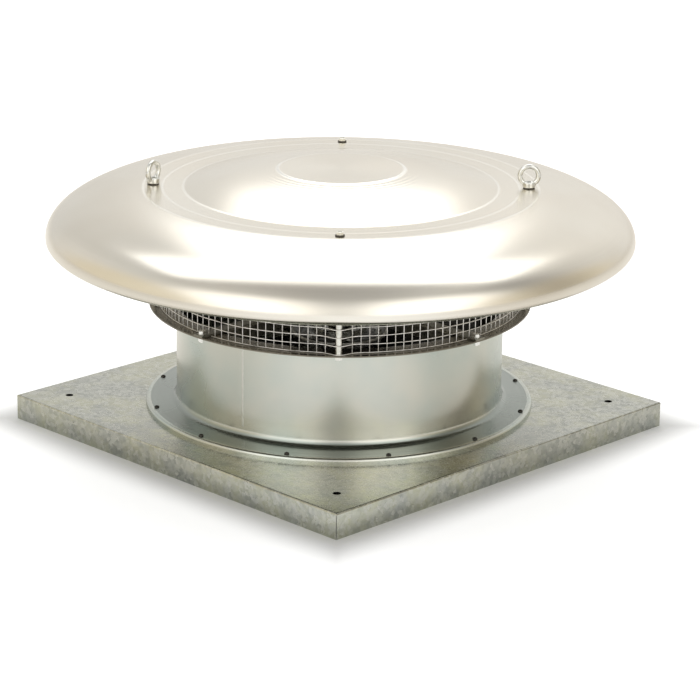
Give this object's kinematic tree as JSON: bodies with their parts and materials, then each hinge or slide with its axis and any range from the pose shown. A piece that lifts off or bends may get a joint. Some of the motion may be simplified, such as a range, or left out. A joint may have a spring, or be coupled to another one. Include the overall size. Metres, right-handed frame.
{
  "type": "roof exhaust fan",
  "caption": "Low roof exhaust fan: square curb cap, galvanised drum, wire bird guard and a domed spun cowl over a motor-driven axial impeller.",
  "frame": {"origin": "On the fan axis, level with the lower edge of the base plate's lips, at the bottom centre.", "axes": "+Z is the fan axis, upwards through the cowl. +X and +Y are square to the base plate's sides. Cowl posts and base holes stand on the diagonals."},
  "size_m": [0.9, 0.9, 0.418],
  "materials": {
    "galvanised_sheet": "hot-dip galvanised sheet with a soft spangle, satin",
    "galvanised_thick_sheet": "galvanised steel strip, satin",
    "spun_aluminium": "bare spun aluminium, satin, fine concentric marks",
    "foam_rubber": "closed-cell foam strip, matt black",
    "butyl_rubber": "butyl sealing ring, matt dark grey",
    "rivet_steel": "blind rivets, dull dark grey",
    "zinc_plated_fasteners": "bright zinc plate",
    "zinc_plated_posts": "turned steel, bright zinc plate",
    "zinc_plated_eye_nuts": "forged steel, bright zinc plate",
    "rubber_washers": "matt black rubber",
    "galvanised_wire": "galvanised steel wire",
    "cast_aluminium_motor": "cast and extruded aluminium, grey enamel",
    "electrical_steel": "laminated electrical steel, blue-grey",
    "enamelled_copper": "lacquered copper wire",
    "bare_cast_aluminium": "die-cast aluminium, satin",
    "turned_steel": "turned steel, lightly oiled",
    "bearing_steel": "ground bearing steel, bright",
    "pressed_cage_steel": "pressed steel, satin",
    "lip_rubber": "black moulded rubber",
    "terminal_moulding": "dark moulded thermoset",
    "terminal_brass": "bright brass",
    "gland_plastic": "black nylon",
    "blade_plastic": "glass-filled nylon, matt, near black"
  },
  "bodies": {
    "root": {"base_plate": "galvanised_sheet", "curb_seal": "foam_rubber", "fan_drum": "galvanised_sheet", "drum_seal": "butyl_rubber", "drum_rivets": "rivet_steel", "support_arms": "galvanised_thick_sheet", "arm_bolts": "zinc_plated_fasteners", "arm_nuts": "zinc_plated_fasteners", "small_washers": "zinc_plated_fasteners", "mount_disc": "galvanised_thick_sheet", "cowl_posts": "zinc_plated_posts", "post_screws": "zinc_plated_fasteners", "cowl": "spun_aluminium", "cowl_seal_washers": "rubber_washers", "cowl_nuts": "zinc_plated_fasteners", "eye_nut_right": "zinc_plated_eye_nuts", "eye_nut_left": "zinc_plated_eye_nuts", "guard_hoops": "galvanised_wire", "guard_uprights": "galvanised_wire", "motor_housing": "cast_aluminium_motor", "motor_lower_end_shield": "cast_aluminium_motor", "motor_upper_end_shield": "cast_aluminium_motor", "motor_screws": "zinc_plated_fasteners", "motor_tie_rods": "zinc_plated_fasteners", "stator_core": "electrical_steel", "stator_windings": "enamelled_copper", "lower_bearing_outer_ring": "bearing_steel", "upper_bearing_outer_ring": "bearing_steel", "bearing_spring": "bearing_steel", "terminal_box": "cast_aluminium_motor", "terminal_box_seal": "lip_rubber", "terminal_box_lid": "cast_aluminium_motor", "lid_screws": "zinc_plated_fasteners", "box_fixing_screws": "zinc_plated_fasteners", "terminal_block": "terminal_moulding", "terminal_studs": "terminal_brass", "gland_body": "gland_plastic", "gland_locknut": "gland_plastic", "gland_nut": "gland_plastic", "gland_seal": "lip_rubber"},
    "rotor": {"rotor_core": "electrical_steel", "rotor_end_rings": "bare_cast_aluminium", "motor_shaft": "turned_steel", "shaft_key": "turned_steel", "shaft_vee_seal": "lip_rubber", "lower_bearing_inner_ring": "bearing_steel", "upper_bearing_inner_ring": "bearing_steel", "hub_lower_half": "bare_cast_aluminium", "hub_upper_half": "bare_cast_aluminium", "hub_boss": "turned_steel", "boss_screws": "zinc_plated_fasteners", "clamp_bolts": "zinc_plated_fasteners", "clamp_nuts": "zinc_plated_fasteners", "impeller_blades": "blade_plastic", "retainer_disc": "zinc_plated_fasteners", "retainer_bolt": "zinc_plated_fasteners"},
    "lower_ball_set": {"lower_bearing_balls": "bearing_steel", "lower_bearing_cage": "pressed_cage_steel"},
    "upper_ball_set": {"upper_bearing_balls": "bearing_steel", "upper_bearing_cage": "pressed_cage_steel"}
  },
  "joints": [
    {"name": "rotor_spin", "type": "hinge", "parent": "root", "child": "rotor", "pos_m": [0, 0, 0.13], "axis": [0, 0, 1], "continuous": true},
    {"name": "lower_ball_roll", "type": "hinge", "parent": "root", "child": "lower_ball_set", "pos_m": [0, 0, 0.2145], "axis": [0, 0, 1], "continuous": true},
    {"name": "upper_ball_roll", "type": "hinge", "parent": "root", "child": "upper_ball_set", "pos_m": [0, 0, 0.359], "axis": [0, 0, 1], "continuous": true}
  ],
  "couplings": [
    {"joint": "lower_ball_roll", "follows": "rotor_spin", "ratio": 0.38209},
    {"joint": "upper_ball_roll", "follows": "rotor_spin", "ratio": 0.38209}
  ]
}
